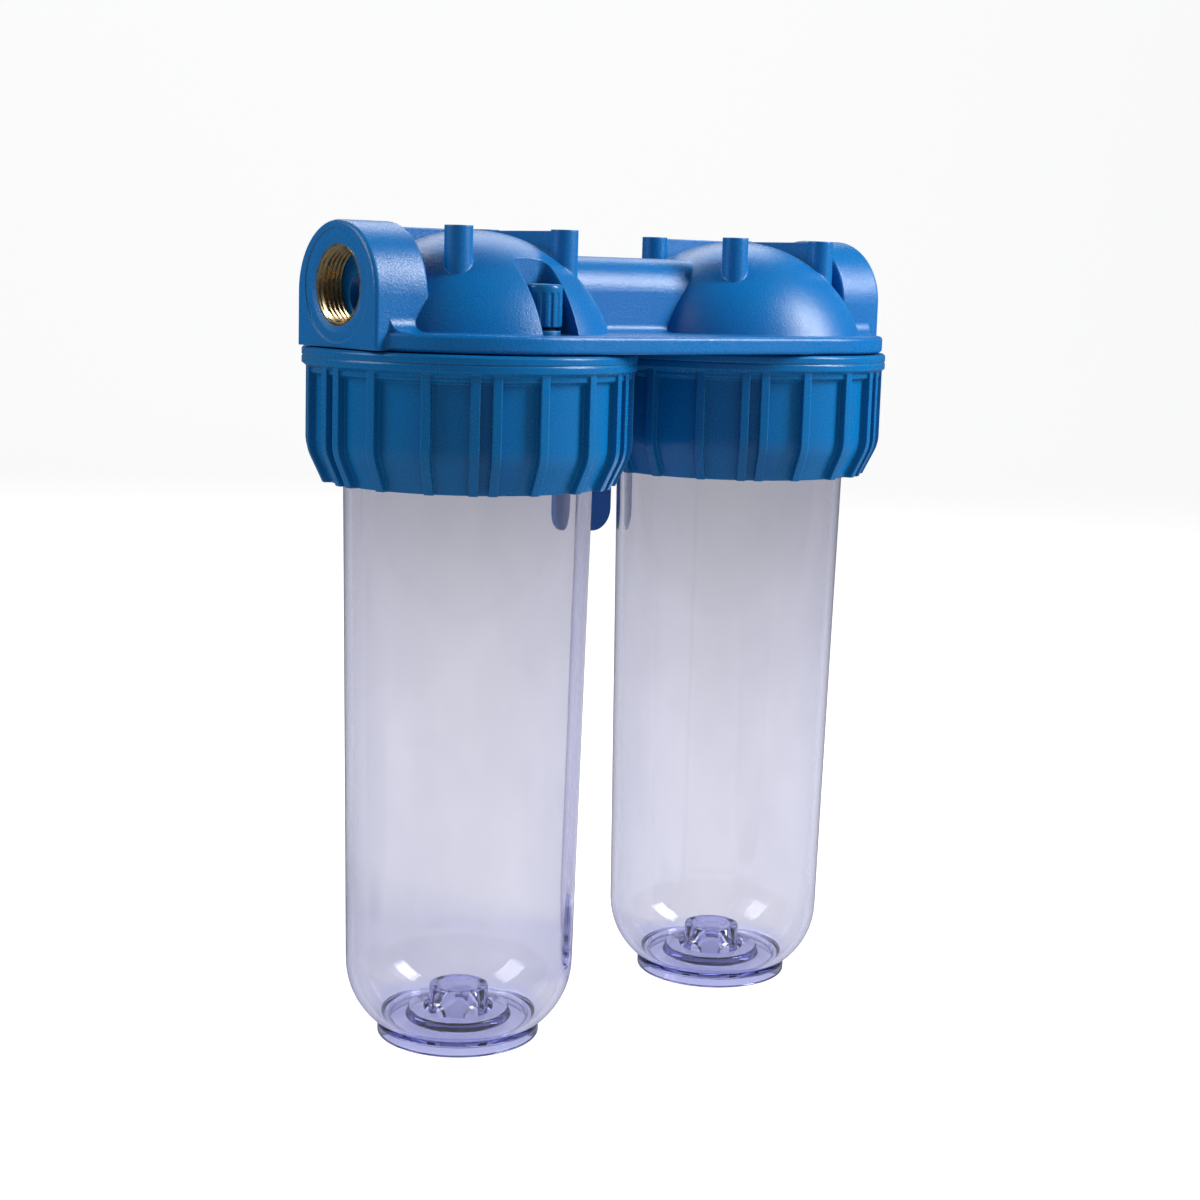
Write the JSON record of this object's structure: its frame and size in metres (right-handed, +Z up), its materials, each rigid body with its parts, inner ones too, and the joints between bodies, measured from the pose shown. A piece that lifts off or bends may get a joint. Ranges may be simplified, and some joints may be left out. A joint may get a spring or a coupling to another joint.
{
  "type": "duplex cartridge filter housing",
  "caption": "Duplex cartridge water filter housing: ported head with domes, screw-on ring nuts, clear bowls, bleed screw and wall bracket.",
  "frame": {"origin": "centre of the mouth of the inlet port, on the flat left-hand port face", "axes": "+X runs along the port axis from the inlet to the outlet, +Y points back to the wall, +Z is up, so -Y is the front"},
  "size_m": [0.2537, 0.135, 0.3032],
  "materials": {
    "head_blue": "fine moulded grain, saturated blue polypropylene",
    "nut_blue": "smooth moulded blue polypropylene",
    "clear_bowl": "clear, faintly violet moulded bowl",
    "brass": "turned brass",
    "seal_rubber": "black nitrile",
    "bracket_blue": "moulded blue plastic",
    "stainless": "stainless screws and washers"
  },
  "bodies": {
    "head_body": {"head": "head_blue", "left_port_insert": "brass", "right_port_insert": "brass", "left_port_seal": "seal_rubber", "right_port_seal": "seal_rubber", "wall_bracket": "bracket_blue", "bracket_screws": "stainless", "bracket_washers": "stainless", "bracket_inserts": "brass"},
    "left_bowl_body": {"left_bowl": "clear_bowl", "left_bowl_seal": "seal_rubber"},
    "left_nut_body": {"left_ring_nut": "nut_blue"},
    "right_bowl_body": {"right_bowl": "clear_bowl", "right_bowl_seal": "seal_rubber"},
    "right_nut_body": {"right_ring_nut": "nut_blue"},
    "vent_seal_body": {"vent_seal": "seal_rubber"},
    "vent_screw_body": {"vent_screw": "nut_blue"}
  },
  "joints": [
    {"name": "left_bowl_drop", "type": "slide", "parent": "head_body", "child": "left_bowl_body", "axis": [0, 0, -1], "range_m": [0, 0.024]},
    {"name": "left_ring_nut_turn", "type": "hinge", "parent": "left_bowl_body", "child": "left_nut_body", "pos_m": [0.05835, 0, -0.047], "axis": [0, 0, -1], "range_deg": [0, 1440]},
    {"name": "right_bowl_drop", "type": "slide", "parent": "head_body", "child": "right_bowl_body", "axis": [0, 0, -1], "range_m": [0, 0.024]},
    {"name": "right_ring_nut_turn", "type": "hinge", "parent": "right_bowl_body", "child": "right_nut_body", "pos_m": [0.19015, 0, -0.047], "axis": [0, 0, -1], "range_deg": [0, 1440]},
    {"name": "vent_rise", "type": "slide", "parent": "head_body", "child": "vent_seal_body", "axis": [0, 0, 1], "range_m": [0, 0.003]},
    {"name": "vent_turn", "type": "hinge", "parent": "vent_seal_body", "child": "vent_screw_body", "pos_m": [0.06035, -0.0392, -0.005], "axis": [0, 0, 1], "range_deg": [0, 720]}
  ],
  "couplings": [
    {"joint": "left_bowl_drop", "follows": "left_ring_nut_turn", "m_per_rad": 0.00095493},
    {"joint": "right_bowl_drop", "follows": "right_ring_nut_turn", "m_per_rad": 0.00095493},
    {"joint": "vent_turn", "follows": "vent_rise", "rad_per_m": 4188.8}
  ]
}
